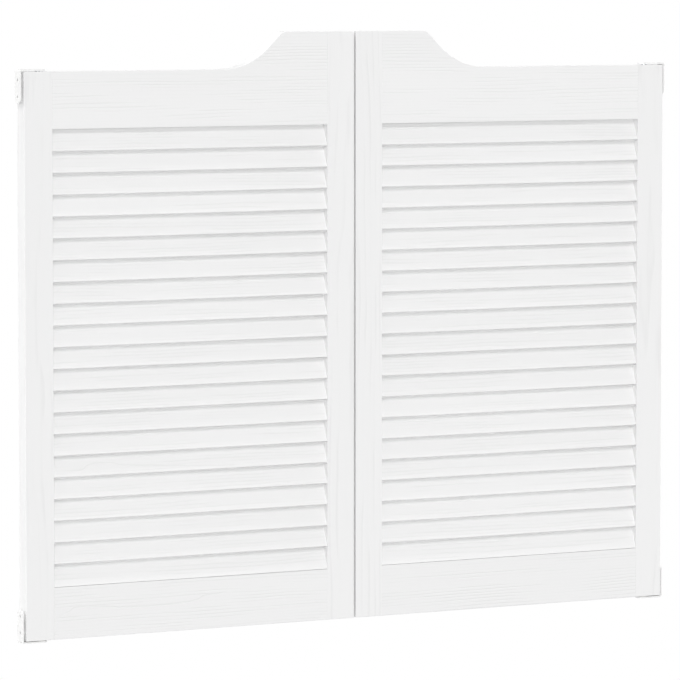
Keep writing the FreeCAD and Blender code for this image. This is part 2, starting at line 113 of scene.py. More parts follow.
# Hardware with its edges eased. Its faces are joined where they lie within an angle of flat.
METAL_EDGE = 0.25 * MM
METAL_EDGE_STEPS = 2
FLAT_ANGLE = math.radians(0.5)
JOIN_DISTANCE = 0.001 * MM

# Noise patterns, whose scale is in waves per metre along each axis, and the span of most of their values.
Pattern = namedtuple("Pattern", "scale detail roughness", defaults=(2.0, 0.5))
NOISE_SPAN = (0.3, 0.7)

# White satin paint over brushed pine. Its patterns run along the grain, into the board and across it.
PAINT_WHITE = 0.845
PAINT_DRIFT = 0.006
PAINT_GROOVE = 0.955
PAINT_ROUGHNESS = (0.37, 0.49)
PAINT_SPECULAR = 0.4
PAINT_CLOUD = Pattern((1.1, 9.0, 9.0), 1.0)
PAINT_SHEEN = Pattern((14.0, 90.0, 90.0))
SHEEN_SPAN = (0.25, 0.75)
PAINT_PEEL = Pattern((420.0, 420.0, 420.0), 1.0)
PEEL_SHARE = 0.10
GRAIN_FIBRE = Pattern((16.0, 520.0, 520.0))
FIBRE_SHARE = 0.40
GRAIN_DEPTH = 0.15 * MM
RING_WIDTH = 4.4 * MM
RING_WANDER = Pattern((1.6, 9.0, 9.0), 3.0)
RING_WANDER_REACH = 24 * MM
RING_RIPPLE = Pattern((11.0, 70.0, 70.0), 1.0)
RING_RIPPLE_REACH = 2.2 * MM
# The dark late wood, as shares of a ring.
LATE_WOOD_START = 0.50
LATE_WOOD_PEAK = 0.84
GRAIN_PATCH = Pattern((7.0, 85.0, 85.0))
GRAIN_PATCH_SPAN = (0.44, 0.62)
GRAIN_FAINTEST = 0.10
# Where the grain shows clearly: a centre and its reach, on the crest of the right leaf.
CLEAR_GRAIN = ((0.075, 0.0, 0.770), (0.085, 1.0, 0.030))
# Rings that bend round a small knot, as points of x and z in mm: on a left slat and the left bottom rail.
KNOT_LINES = (
    ((-455, 227.5), (-417, 226), (-410, 227), (-390, 234), (-368, 233.5), (-355, 230.5), (-310, 227.5),
     (-235, 223), (-175, 221.5)),
    ((-462, 28.5), (-447, 34), (-431, 40.5), (-423, 44.5), (-346, 40), (-270, 40.5), (-244, 43),
     (-231, 48), (-211, 49.5), (-199, 51), (-193, 57)),
)
KNOT_LINE_WIDTH = 1.4 * MM
KNOT_LINE_DEPTH = 4.0 * MM
KNOT_LINE_LEVEL = 1.15
KNOT_LINE_FADED_IN = 0.15
KNOT_LINE_FADES_OUT = 0.93

# Where each board lies in its log: along it, into the board and across it from the pith.
LOG_PLACES = {
    "left_hinge_stile": (0.7, 0.130, 0.500),
    "left_meeting_stile": (3.1, 0.100, -0.010),
    "left_top_rail": (5.7, 0.050, -0.46),
    "left_bottom_rail": (7.9, 0.035, 0.24),
    "right_hinge_stile": (11.2, 0.110, -0.470),
    "right_meeting_stile": (13.8, 0.120, 0.035),
    "right_top_rail": (16.4, 0.045, -0.50),
    "right_bottom_rail": (19.3, 0.060, 0.20),
}
# Each slat lies somewhere between these.
SLAT_LOG_LOW = (-4.0, 0.050, 0.110)
SLAT_LOG_HIGH = (4.0, 0.120, 0.260)

# Finishes of the hardware. A cloud shades the colour, and marks make it rough and uneven.
Finish = namedtuple("Finish", "name colour darkest cloud marks roughness depth metallic")
NYLON_FLOW = Pattern((220.0, 220.0, 900.0))
POWDER_COAT = Finish(
    "white_powder_coat", (0.86, 0.86, 0.855), 0.98, Pattern((35.0, 35.0, 35.0)),
    Pattern((900.0, 900.0, 900.0)), (0.36, 0.50), 0.015 * MM, 0.0,
)
BRIGHT_ZINC = Finish(
    "bright_zinc_plate", (0.75, 0.77, 0.79), 0.88, Pattern((260.0, 260.0, 260.0), 4.0, 0.6),
    Pattern((900.0, 900.0, 900.0), 3.0), (0.24, 0.42), 0.006 * MM, 1.0,
)
NATURAL_NYLON = Finish(
    "natural_nylon", (0.84, 0.83, 0.78), 0.96, NYLON_FLOW, NYLON_FLOW, (0.40, 0.55), 0.008 * MM, 0.0,
)

# Camera, aimed at a point on the front of the closed pair.
CAMERA_AZIMUTH = math.radians(-29.08)
CAMERA_ELEVATION = math.radians(4.34)
CAMERA_DISTANCE = 6.60
CAMERA_TARGET = Vector((-0.0232, -0.0105, 0.3844))
CAMERA_LENS = 257.2
CAMERA_SENSOR = 36.0
CAMERA_REACH = 2000.0

# Stage and light: a white floor, an even room light, and large soft lamps round the doors.
FLOOR_DROP = 0.9
FLOOR_HALF_WIDTH = 400.0
ROOM_STRENGTH = 0.53
# Where each lamp shines from and how wide it is, in degrees. Azimuth 0 is the front and 90 the right.
Lamp = namedtuple("Lamp", "azimuth elevation spread strength")
LAMPS = {
    "key": Lamp(-20, 31, 12, 0.69),
    "front_fill": Lamp(-26, 0, 18, 1.12),
    "left_rim": Lamp(-130, 10, 60, 0.71),
    "right_rim": Lamp(100, -5, 40, 1.12),
    "upper_left": Lamp(-105, 60, 20, 1.03),
    "skylight": Lamp(0, 86, 12, 0.47),
    "back_fill": Lamp(180, -25, 40, 0.7),
}


# ---------------------------------------------------------------- objects

def new_object(name, data):
    """An object of its own in the scene, at the origin."""
    made = bpy.data.objects.new(name, data)
    bpy.context.scene.collection.objects.link(made)
    return made


def settle(piece):
    """Turn a piece's modifiers into its plain mesh."""
    bpy.context.view_layer.update()
    graph = bpy.context.evaluated_depsgraph_get()
    mesh = bpy.data.meshes.new_from_object(
        piece.evaluated_get(graph), preserve_all_data_layers=True, depsgraph=graph
    )
    piece.modifiers.clear()
    piece.data = mesh
    mesh.name = piece.name
    return piece


def smooth(piece):
    """Shade the rounded edges smoothly and keep the broad faces flat."""
    for polygon in piece.data.polygons:
        polygon.use_smooth = True
    weighted = piece.modifiers.new("faces_first", "WEIGHTED_NORMAL")
    weighted.mode = "FACE_AREA"
    weighted.weight = FACE_WEIGHT
    settle(piece)


def round_edges(piece, width, steps, **limit):
    """Round those edges of a piece that the limit picks."""
    bevel = piece.modifiers.new("rounded_edges", "BEVEL")
    bevel.width = width
    bevel.segments = steps
    for name, value in limit.items():
        setattr(bevel, name, value)
    settle(piece)


def drop_attributes(piece, *names):
    """Remove attributes that were only needed in making a piece, or that a cutter left on it."""
    for name in names:
        if name in piece.data.attributes:
            piece.data.attributes.remove(piece.data.attributes[name])


# ---------------------------------------------------------------- node helpers

def add_node(tree, kind, inputs=None, **settings):
    """Add a node. An input is given a value, or is linked if it is given a socket."""
    node = tree.nodes.new(kind)
    for name, value in settings.items():
        setattr(node, name, value)
    for key, value in (inputs or {}).items():
        if isinstance(value, bpy.types.NodeSocket):
            tree.links.new(value, node.inputs[key])
        else:
            node.inputs[key].default_value = value
    return node


def calc(tree, operation, *terms):
    """The result of a Math node on numbers and sockets."""
    return add_node(tree, "ShaderNodeMath", dict(enumerate(terms)), operation=operation).outputs[0]


def calc_vector(tree, operation, *terms):
    """The vector result of a Vector Math node on vectors and sockets."""
    inputs = dict(enumerate(terms))
    return add_node(tree, "ShaderNodeVectorMath", inputs, operation=operation).outputs["Vector"]


def length_of(tree, term):
    """The length of a vector."""
    return add_node(tree, "ShaderNodeVectorMath", {0: term}, operation="LENGTH").outputs["Value"]


def vector(tree, **parts):
    """A vector made of numbers and sockets named X, Y and Z."""
    return add_node(tree, "ShaderNodeCombineXYZ", parts).outputs["Vector"]


def join(tree, *geometries):
    """Several geometries in one."""
    node = add_node(tree, "GeometryNodeJoinGeometry")
    for geometry in geometries:
        tree.links.new(geometry, node.inputs["Geometry"])
    return node.outputs["Geometry"]


def remap(tree, value, low, high, to_low=0.0, to_high=1.0, eased=True):
    """A value spread from one range over another and kept inside it, eased at both ends or even."""
    node = add_node(tree, "ShaderNodeMapRange", {
        "Value": value, "From Min": low, "From Max": high, "To Min": to_low, "To Max": to_high,
    })
    node.interpolation_type = "SMOOTHSTEP" if eased else "LINEAR"
    return node.outputs["Result"]


def noise(tree, place, pattern):
    """The outputs of a noise texture that follows a pattern."""
    scaled = calc_vector(tree, "MULTIPLY", place, pattern.scale)
    return add_node(tree, "ShaderNodeTexNoise", {
        "Vector": scaled, "Scale": 1.0, "Detail": pattern.detail, "Roughness": pattern.roughness,
    }).outputs


# ---------------------------------------------------------------- materials

def new_material(name):
    """A material with only a Principled shader, its node tree and that shader."""
    material = bpy.data.materials.new(name)
    material.use_nodes = True
    tree = material.node_tree
    tree.nodes.clear()
    shader = add_node(tree, "ShaderNodeBsdfPrincipled")
    add_node(tree, "ShaderNodeOutputMaterial", {"Surface": shader.outputs["BSDF"]})
    return material, tree, shader


def add_bump(tree, shader, height, depth, sunk=False):
    """Raise the surface by a height from 0 to 1 times a depth in metres, or sink it."""
    bump = add_node(tree, "ShaderNodeBump", {"Height": height, "Strength": 1.0, "Distance": depth})
    bump.invert = sunk
    tree.links.new(bump.outputs["Normal"], shader.inputs["Normal"])


def random_shift(tree, grain, pattern, reach):
    """A smooth random shift across the grain, up to half of reach each way."""
    centred = calc_vector(tree, "SUBTRACT", noise(tree, grain, pattern)["Color"], (0.5, 0.5, 0.5))
    return calc_vector(tree, "MULTIPLY", centred, (0.0, reach, reach))


def growth_rings(tree, grain):
    """Late wood lines from 0 to 1: rings about a pith that wanders along the board."""
    wander = random_shift(tree, grain, RING_WANDER, RING_WANDER_REACH)
    ripple = random_shift(tree, grain, RING_RIPPLE, RING_RIPPLE_REACH)
    bent = calc_vector(tree, "ADD", calc_vector(tree, "ADD", grain, wander), ripple)
    radius = length_of(tree, calc_vector(tree, "MULTIPLY", bent, (0.0, 1.0, 1.0)))
    phase = calc(tree, "FRACT", calc(tree, "DIVIDE", radius, RING_WIDTH))
    rise = remap(tree, phase, LATE_WOOD_START, LATE_WOOD_PEAK)
    fall = remap(tree, phase, LATE_WOOD_PEAK, 1.0, 1.0, 0.0)
    return calc(tree, "MULTIPLY", rise, fall)


def closeness(tree, place, centre, reach):
    """From 1 at a centre down to 0 at its reach along each axis."""
    away = calc_vector(tree, "DIVIDE", calc_vector(tree, "SUBTRACT", place, centre), reach)
    return remap(tree, length_of(tree, away), 0.0, 1.0, 1.0, 0.0)


def knot_line(tree, place, points):
    """A single ring, from 0 to 1, that follows points of x and z in mm over the front of a board."""
    points = [(x * MM, z * MM) for x, z in points]
    left, right = points[0][0], points[-1][0]
    low, high = min(z for x, z in points), max(z for x, z in points)
    part = add_node(tree, "ShaderNodeSeparateXYZ", {"Vector": place}).outputs
    along = remap(tree, part["X"], left, right, eased=False)
    path = add_node(tree, "ShaderNodeFloatCurve", {"Value": along})
    line = path.mapping.curves[0].points
    shares = [((x - left) / (right - left), (z - low) / (high - low)) for x, z in points]
    for share in shares[1:-1]:
        line.new(*share)
    line[0].location = shares[0]
    line[len(line) - 1].location = shares[-1]
    path.mapping.update()
    height = remap(tree, path.outputs["Value"], 0.0, 1.0, low, high, eased=False)
    away = calc(tree, "ABSOLUTE", calc(tree, "SUBTRACT", part["Z"], height))
    shape = remap(tree, away, 0.0, KNOT_LINE_WIDTH, 1.0, 0.0)
    start = remap(tree, along, 0.0, KNOT_LINE_FADED_IN)
    end = remap(tree, along, KNOT_LINE_FADES_OUT, 1.0, 1.0, 0.0)
    front = remap(tree, part["Y"], 0.0, KNOT_LINE_DEPTH, 1.0, 0.0)
    for share in (start, end, front):
        shape = calc(tree, "MULTIPLY", shape, share)
    return calc(tree, "MULTIPLY", shape, KNOT_LINE_LEVEL)


def grain_lines(tree, grain, place):
    """All the lines of the grain, clear in patches and faint between them."""
    patch = noise(tree, grain, GRAIN_PATCH)["Fac"]
    clear = remap(tree, patch, *GRAIN_PATCH_SPAN, GRAIN_FAINTEST, 1.0)
    clear = calc(tree, "MAXIMUM", clear, closeness(tree, place, *CLEAR_GRAIN))
    lines = calc(tree, "MULTIPLY", growth_rings(tree, grain), clear)
    for points in KNOT_LINES:
        lines = calc(tree, "MAXIMUM", lines, knot_line(tree, place, points))
    return lines


def make_painted_pine():
    """White satin paint over brushed pine, whose grain shows as fine broken lines along each board."""
    material, tree, shader = new_material("white_satin_on_pine")
    grain = add_node(tree, "ShaderNodeAttribute", attribute_name="grain").outputs["Vector"]
    place = add_node(tree, "ShaderNodeTexCoord").outputs["Object"]
    lines = grain_lines(tree, grain, place)
    fibre = noise(tree, grain, GRAIN_FIBRE)["Fac"]
    peel = noise(tree, grain, PAINT_PEEL)["Fac"]
    relief = calc(tree, "MULTIPLY_ADD", fibre, FIBRE_SHARE, lines)
    relief = calc(tree, "MULTIPLY_ADD", peel, PEEL_SHARE, relief)
    add_bump(tree, shader, relief, GRAIN_DEPTH, sunk=True)

    tone = noise(tree, grain, PAINT_CLOUD)["Fac"]
    base = remap(tree, tone, *NOISE_SPAN, PAINT_WHITE - PAINT_DRIFT, PAINT_WHITE + PAINT_DRIFT)
    dulling = remap(tree, lines, 0.0, 1.0, 1.0, PAINT_GROOVE, eased=False)
    grey = calc(tree, "MULTIPLY", base, dulling)
    colour = add_node(tree, "ShaderNodeCombineColor", {"Red": grey, "Green": grey, "Blue": grey})
    tree.links.new(colour.outputs["Color"], shader.inputs["Base Color"])
    sheen = noise(tree, grain, PAINT_SHEEN)["Fac"]
    tree.links.new(remap(tree, sheen, *SHEEN_SPAN, *PAINT_ROUGHNESS), shader.inputs["Roughness"])
    shader.inputs["Specular IOR Level"].default_value = PAINT_SPECULAR
    return material


def make_finish(finish):
    """A coat or a bare material of the hardware."""
    material, tree, shader = new_material(finish.name)
    place = add_node(tree, "ShaderNodeTexCoord").outputs["Object"]
    cloud = noise(tree, place, finish.cloud)["Fac"]
    marks = noise(tree, place, finish.marks)["Fac"]
    level = remap(tree, cloud, *NOISE_SPAN, finish.darkest, 1.0)
    shaded = add_node(
        tree, "ShaderNodeVectorMath", {"Vector": finish.colour, "Scale": level}, operation="SCALE"
    )
    tree.links.new(shaded.outputs["Vector"], shader.inputs["Base Color"])
    tree.links.new(remap(tree, marks, *NOISE_SPAN, *finish.roughness), shader.inputs["Roughness"])
    shader.inputs["Metallic"].default_value = finish.metallic
    add_bump(tree, shader, marks, finish.depth)
    return material


# ---------------------------------------------------------------- geometry trees

def new_tree(name, inputs):
    """A geometry tree with named inputs. Returns the tree, those inputs and its output node."""
    tree = bpy.data.node_groups.new(name, "GeometryNodeTree")
    tree.interface.new_socket("Geometry", in_out="OUTPUT", socket_type="NodeSocketGeometry")
    for label, kind in inputs:
        tree.interface.new_socket(label, in_out="INPUT", socket_type="NodeSocket" + kind)
    return tree, tree.nodes.new("NodeGroupInput").outputs, tree.nodes.new("NodeGroupOutput")


def run_tree(name, tree, values, base=None):
    """The mesh object that the tree makes of its inputs' values and, if it needs one, a base mesh."""
    piece = new_object(name, base or bpy.data.meshes.new(name))
    modifier = piece.modifiers.new("tree", "NODES")
    modifier.node_group = tree
    identifiers = {
        item.name: item.identifier
        for item in tree.interface.items_tree
        if item.item_type == "SOCKET" and item.in_out == "INPUT"
    }
    for label, value in values.items():
        modifier[identifiers[label]] = value
    return settle(piece)


def closed_prism(tree, outline, corner_radius, corner_steps, depth):
    """A closed solid: an outline in the XY plane, its corners rounded, raised along +Z by a depth."""
    rounded = add_node(tree, "GeometryNodeFilletCurve", {
        "Curve": outline, "Radius": corner_radius, "Count": corner_steps, "Limit Radius": True,
    }, mode="POLY")
    curve = rounded.outputs["Curve"]
    face = add_node(tree, "GeometryNodeFillCurve", {"Curve": curve}, mode="NGONS").outputs["Mesh"]
    raised = add_node(tree, "GeometryNodeExtrudeMesh", {
        "Mesh": face, "Offset": (0.0, 0.0, 1.0), "Offset Scale": depth, "Individual": False,
    }, mode="FACES")
    back = add_node(tree, "GeometryNodeFlipFaces", {"Mesh": face})
    joined = join(tree, raised.outputs["Mesh"], back.outputs["Mesh"])
    return add_node(tree, "GeometryNodeMergeByDistance", {
        "Geometry": joined, "Distance": JOIN_DISTANCE,
    }).outputs["Geometry"]


def stored(tree, name, kind="FLOAT_VECTOR"):
    """The values of an attribute."""
    node = add_node(tree, "GeometryNodeInputNamedAttribute", {"Name": name}, data_type=kind)
    return node.outputs["Attribute"]


def store(tree, geometry, name, value, domain="POINT"):
    """The geometry with a vector attribute stored on it."""
    return add_node(tree, "GeometryNodeStoreNamedAttribute", {
        "Geometry": geometry, "Name": name, "Value": value,
    }, data_type="FLOAT_VECTOR", domain=domain).outputs["Geometry"]


def finish_tree(tree, geometry, finish, result):
    """Give the geometry its material and send it to the tree's output."""
    painted = add_node(tree, "GeometryNodeSetMaterial", {"Geometry": geometry, "Material": finish})
    tree.links.new(painted.outputs["Geometry"], result.inputs["Geometry"])


def realized(tree, instances):
    """Instances turned into plain geometry."""
    return add_node(tree, "GeometryNodeRealizeInstances", {"Geometry": instances}).outputs["Geometry"]


def moved(tree, geometry, **changes):
    """The geometry after a Transform node with the given translation, rotation or scale."""
    return add_node(tree, "GeometryNodeTransform", {"Geometry": geometry} | changes).outputs["Geometry"]


def point_height(tree):
    """The height of each point."""
    position = add_node(tree, "GeometryNodeInputPosition").outputs["Position"]
    return add_node(tree, "ShaderNodeSeparateXYZ", {"Vector": position}).outputs["Z"]


def slid_down(tree, geometry, comparison, height, limit, drop, lean):
    """The geometry with some points lowered by a drop along a slat's slope.

    They are the points whose height compares with the limit in the given way.
    """
    chosen = add_node(
        tree, "FunctionNodeCompare", {0: height, 1: limit}, data_type="FLOAT", operation=comparison
    )
    fall = calc(tree, "MULTIPLY", drop, -1.0)
    shift = vector(tree, Y=calc(tree, "MULTIPLY", fall, calc(tree, "TANGENT", lean)), Z=fall)
    return add_node(tree, "GeometryNodeSetPosition", {
        "Geometry": geometry, "Selection": chosen.outputs["Result"], "Offset": shift,
    }).outputs["Geometry"]


def make_slat_tree():
    """A stack of leaning slats with rounded edges, the top one ripped level and the lowest one seated."""
    tree, size, result = new_tree("louvre_slats", [
        ("Count", "Int"), ("Pitch", "Float"), ("Lowest Middle", "Float"), ("Middle", "Float"),
        ("Length", "Float"), ("Width", "Float"), ("Thickness", "Float"), ("Lean", "Float"),
        ("Edge Round", "Float"), ("Round Steps", "Int"), ("Level", "Float"), ("Seat", "Float"),
        ("Seat Reach", "Float"), ("Seat Share", "Float"), ("Seed", "Int"), ("Finish", "Material"),
    ])
    section = add_node(tree, "GeometryNodeCurvePrimitiveQuadrilateral", {
        "Width": size["Thickness"], "Height": size["Width"],
    })
    closed = closed_prism(
        tree, section.outputs["Curve"], size["Edge Round"], size["Round Steps"], size["Length"]
    )
    # lay it along X: the sweep (Z) becomes X, the thickness (X) becomes Y, the width (Y) becomes Z
    start = vector(tree, X=calc(tree, "MULTIPLY", size["Length"], -0.5))
    laid = moved(tree, closed, Translation=start, Rotation=(RIGHT_ANGLE, 0.0, RIGHT_ANGLE))
    position = add_node(tree, "GeometryNodeInputPosition").outputs["Position"]
    marked = store(tree, laid, "grain", position)

    points = add_node(tree, "GeometryNodeMeshLine", {
        "Count": size["Count"], "Offset": vector(tree, Z=size["Pitch"]),
        "Start Location": vector(tree, X=size["Middle"], Z=size["Lowest Middle"]),
    }, mode="OFFSET")
    stack = add_node(tree, "GeometryNodeInstanceOnPoints", {
        "Points": points.outputs["Mesh"], "Instance": marked,
        "Rotation": vector(tree, X=calc(tree, "MULTIPLY", size["Lean"], -1.0)),
    })
    index = add_node(tree, "GeometryNodeInputIndex").outputs["Index"]
    log_place = add_node(tree, "FunctionNodeRandomValue", {
        "Min": SLAT_LOG_LOW, "Max": SLAT_LOG_HIGH, "ID": index, "Seed": size["Seed"],
    }, data_type="FLOAT_VECTOR").outputs["Value"]
    numbered = store(tree, stack.outputs["Instances"], "log_place", log_place, domain="INSTANCE")
    grain = calc_vector(tree, "ADD", stored(tree, "grain"), stored(tree, "log_place"))
    grained = store(tree, realized(tree, numbered), "grain", grain)
    stripped = add_node(tree, "GeometryNodeRemoveAttribute", {"Geometry": grained, "Name": "log_place"})

    # points above the level slide down along the slat until they meet it
    excess = calc(tree, "SUBTRACT", point_height(tree), size["Level"])
    level = slid_down(
        tree, stripped.outputs["Geometry"], "GREATER_THAN", excess, 0.0, excess, size["Lean"]
    )
    # the edge of the lowest slat slides down towards the rail, to seat on it with only a fine line
    clearance = calc(tree, "SUBTRACT", point_height(tree), size["Seat"])
    drop = calc(tree, "MULTIPLY", clearance, calc(tree, "SUBTRACT", 1.0, size["Seat Share"]))
    seated = slid_down(tree, level, "LESS_THAN", clearance, size["Seat Reach"], drop, size["Lean"])
    finish_tree(tree, seated, size["Finish"], result)
    return tree


def make_board_tree():
    """A board sawn to a closed outline in its XZ plane, with each corner rounded by its own radius."""
    tree, size, result = new_tree("sawn_board", [
        ("Outline", "Geometry"), ("Thickness", "Float"), ("Curve Steps", "Int"), ("Finish", "Material"),
    ])
    line = add_node(tree, "GeometryNodeMeshToCurve", {"Mesh": size["Outline"]}).outputs["Curve"]
    radius = stored(tree, "corner_radius", "FLOAT")
    closed = closed_prism(tree, line, radius, size["Curve Steps"], size["Thickness"])
    back = vector(tree, Y=calc(tree, "MULTIPLY", size["Thickness"], 0.5))
    stood = moved(tree, closed, Translation=back, Rotation=(RIGHT_ANGLE, 0.0, 0.0))
    finish_tree(tree, stood, size["Finish"], result)
    return tree


def turned_stretch(tree, top_radius, bottom_radius, top, depth):
    """A closed cone or cylinder about the Z axis, from the height top down by depth."""
    cone = add_node(tree, "GeometryNodeMeshCone", {
        "Vertices": SCREW_SIDES, "Radius Top": top_radius, "Radius Bottom": bottom_radius, "Depth": depth,
    })
    foot = calc(tree, "SUBTRACT", top, depth)
    return moved(tree, cone.outputs["Mesh"], Translation=vector(tree, Z=foot))


def make_thread(tree, size, core, start, length):
    """A ridge wound round the shank, from the height start down by length."""
    turns = calc(tree, "DIVIDE", length, size["Pitch"])
    spiral = add_node(tree, "GeometryNodeCurveSpiral", {
        "Resolution": SCREW_SIDES, "Rotations": turns, "Start Radius": core, "End Radius": core,
        "Height": length,
    })
    ridge = add_node(tree, "GeometryNodeCurvePrimitiveCircle", {
        "Resolution": THREAD_SIDES, "Radius": calc(tree, "SUBTRACT", size["Shank Radius"], core),
    })
    wound = add_node(tree, "GeometryNodeCurveToMesh", {
        "Curve": spiral.outputs["Curve"], "Profile Curve": ridge.outputs["Curve"], "Fill Caps": True,
    })
    foot = calc(tree, "SUBTRACT", start, length)
    return moved(tree, wound.outputs["Mesh"], Translation=vector(tree, Z=foot))


def make_cross(tree, size):
    """The two crossed bars that are cut out of a screw's head."""
    height = calc(tree, "MULTIPLY", size["Cross Depth"], 2.0)
    bar = add_node(tree, "GeometryNodeMeshCube", {
        "Size": vector(tree, X=size["Cross Reach"], Y=size["Cross Width"], Z=height),
    }).outputs["Mesh"]
    return join(tree, *[moved(tree, bar, Rotation=(0.0, 0.0, angle)) for angle in (0.0, RIGHT_ANGLE)])


def make_screw(tree, size):
    """One countersunk wood screw that points down, with the face of its head at the origin."""
    core = calc(tree, "MULTIPLY", size["Shank Radius"], SCREW_CORE_SHARE)
    sink = calc(tree, "SUBTRACT", size["Head Radius"], size["Shank Radius"])
    shank_start = calc(tree, "MULTIPLY", sink, -SHANK_START_SHARE)
    thread_start = calc(tree, "MULTIPLY", sink, -THREAD_START_SHARE)
    point_start = calc(tree, "SUBTRACT", size["Point Length"], size["Length"])
    shank_length = calc(tree, "SUBTRACT", shank_start, point_start)
    thread_length = calc(tree, "SUBTRACT", thread_start, point_start)
    whole = add_node(tree, "GeometryNodeMeshBoolean", operation="UNION", solver="EXACT")
    for stretch in (
        turned_stretch(tree, size["Head Radius"], size["Shank Radius"], 0.0, sink),
        turned_stretch(tree, core, core, shank_start, shank_length),
        turned_stretch(tree, core, 0.0, point_start, size["Point Length"]),
        make_thread(tree, size, core, thread_start, thread_length),
    ):
        tree.links.new(stretch, whole.inputs["Mesh 2"])
    recessed = add_node(tree, "GeometryNodeMeshBoolean", {
        "Mesh 1": whole.outputs["Mesh"], "Mesh 2": make_cross(tree, size), "Self Intersection": True,
    }, operation="DIFFERENCE", solver="EXACT")
    return add_node(tree, "GeometryNodeMergeByDistance", {
        "Geometry": recessed.outputs["Mesh"], "Distance": SLIVER_DISTANCE,
    }).outputs["Geometry"]


def make_screw_tree():
    """Countersunk wood screws at the points of a mesh, each turned to its own angle about its axis."""
    tree, size, result = new_tree("wood_screws", [
        ("Places", "Geometry"), ("Head Radius", "Float"), ("Shank Radius", "Float"), ("Length", "Float"),
        ("Point Length", "Float"), ("Pitch", "Float"), ("Cross Reach", "Float"), ("Cross Width", "Float"),
        ("Cross Depth", "Float"), ("Seed", "Int"), ("Finish", "Material"),
    ])
    placed = add_node(tree, "GeometryNodeInstanceOnPoints", {
        "Points": size["Places"], "Instance": make_screw(tree, size), "Rotation": stored(tree, "facing"),
    })
    index = add_node(tree, "GeometryNodeInputIndex").outputs["Index"]
    # inputs 2 and 3 and output 1 of this node are its plain numbers
    angle = add_node(tree, "FunctionNodeRandomValue", {
        2: 0.0, 3: RIGHT_ANGLE, "ID": index, "Seed": size["Seed"],
    }, data_type="FLOAT").outputs[1]
    driven = add_node(tree, "GeometryNodeRotateInstances", {
        "Instances": placed.outputs["Instances"], "Rotation": vector(tree, Z=angle),
    })
    finish_tree(tree, realized(tree, driven.outputs["Instances"]), size["Finish"], result)
    return tree


# ---------------------------------------------------------------- slats

def slat_sizes(side_name):
    """Sizes and places of a leaf's slats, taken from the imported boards."""
    low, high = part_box(f"{side_name}_slat_{SLAT_COUNT:02d}")
    next_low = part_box(f"{side_name}_slat_{SLAT_COUNT - 1:02d}")[0]
    stile_low, stile_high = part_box(f"{side_name}_meeting_stile")
    room = stile_high.y - stile_low.y - 2 * SLAT_SETBACK
    return {
        "Count": SLAT_COUNT,
        "Pitch": next_low.z - low.z,
        "Lowest Middle": (low.z + high.z) / 2,
        "Middle": (low.x + high.x) / 2,
        "Length": high.x - low.x,
        "Width": (room - SLAT_THICKNESS * math.cos(SLAT_LEAN)) / math.sin(SLAT_LEAN),
        "Thickness": SLAT_THICKNESS,
        "Lean": SLAT_LEAN,
        "Edge Round": SLAT_ROUND,
        "Round Steps": SLAT_ROUND_STEPS,
        "Level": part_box(f"{side_name}_top_rail")[0].z - SLAT_TRIM_GAP,
        "Seat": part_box(f"{side_name}_bottom_rail")[1].z,
        "Seat Reach": SLAT_THICKNESS * math.sin(SLAT_LEAN) + SLAT_SEAT_MARGIN,
        "Seat Share": SLAT_SEAT_SHARE,
    }


def make_slats(side_name, tree, finish, seed):
    """All the slats of a leaf in one piece."""
    values = slat_sizes(side_name) | {"Seed": seed, "Finish": finish}
    slats = run_tree(f"{side_name}_louvre_slats", tree, values)
    smooth(slats)
    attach(slats, f"{side_name}_leaf")
    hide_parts(*[f"{side_name}_slat_{index:02d}" for index in range(1, SLAT_COUNT + 1)])


def make_groove_cutter(side_name, tree, finish):
    """The slats of a leaf grown by the grooves' clearance, to be cut out of its stiles."""
    grown = slat_sizes(side_name) | {"Seed": 0, "Finish": finish}
    for measure in ("Width", "Thickness", "Length"):
        grown[measure] += 2 * GROOVE_CLEARANCE
    grown["Level"] += GROOVE_LEVEL_RAISE
    return run_tree(f"{side_name}_groove_cutter", tree, grown)


# ---------------------------------------------------------------- boards

def outline_mesh(name, corners):
    """A closed line through corners of x, z and corner radius."""
    mesh = bpy.data.meshes.new(name)
    count = len(corners)
    mesh.from_pydata(
        [(x, z, 0.0) for x, z, radius in corners],
        [(index, (index + 1) % count) for index in range(count)],
        [],
    )
    radii = mesh.attributes.new("corner_radius", "FLOAT", "POINT")
    radii.data.foreach_set("value", [radius for x, z, radius in corners])
    return mesh


def rectangle(low_x, high_x, low_z, high_z):
    """The corners of a rectangle, none of them rounded."""
    return [(low_x, low_z, 0.0), (high_x, low_z, 0.0), (high_x, high_z, 0.0), (low_x, high_z, 0.0)]


def box_mesh(name, boxes):
    """Several closed boxes in one mesh, each given by its lowest and highest corner."""
    bm = bmesh.new()
    for low, high in boxes:
        low, high = Vector(low), Vector(high)
        made = bmesh.ops.create_cube(bm, size=1.0)["verts"]
        bmesh.ops.scale(bm, vec=high - low, verts=made)
        bmesh.ops.translate(bm, vec=(low + high) / 2, verts=made)
    mesh = bpy.data.meshes.new(name)
    bm.to_mesh(mesh)
    bm.free()
    return mesh


def cut_away(piece, cutter):
    """Cut one object out of another with a modifier."""
    modifier = piece.modifiers.new("cut", "BOOLEAN")
    modifier.operation = "DIFFERENCE"
    modifier.solver = "EXACT"
    modifier.object = cutter


def store_grain(piece, along, across, log_place):
    """Give each point its place in the log: along the grain, into the board and across it."""
    mesh = piece.data
    grain = mesh.attributes.new("grain", "FLOAT_VECTOR", "POINT")
    values = []
    for vertex in mesh.vertices:
        point = vertex.co
        values += [point[along] + log_place[0], point.y + log_place[1], point[across] + log_place[2]]
    grain.data.foreach_set("vector", values)


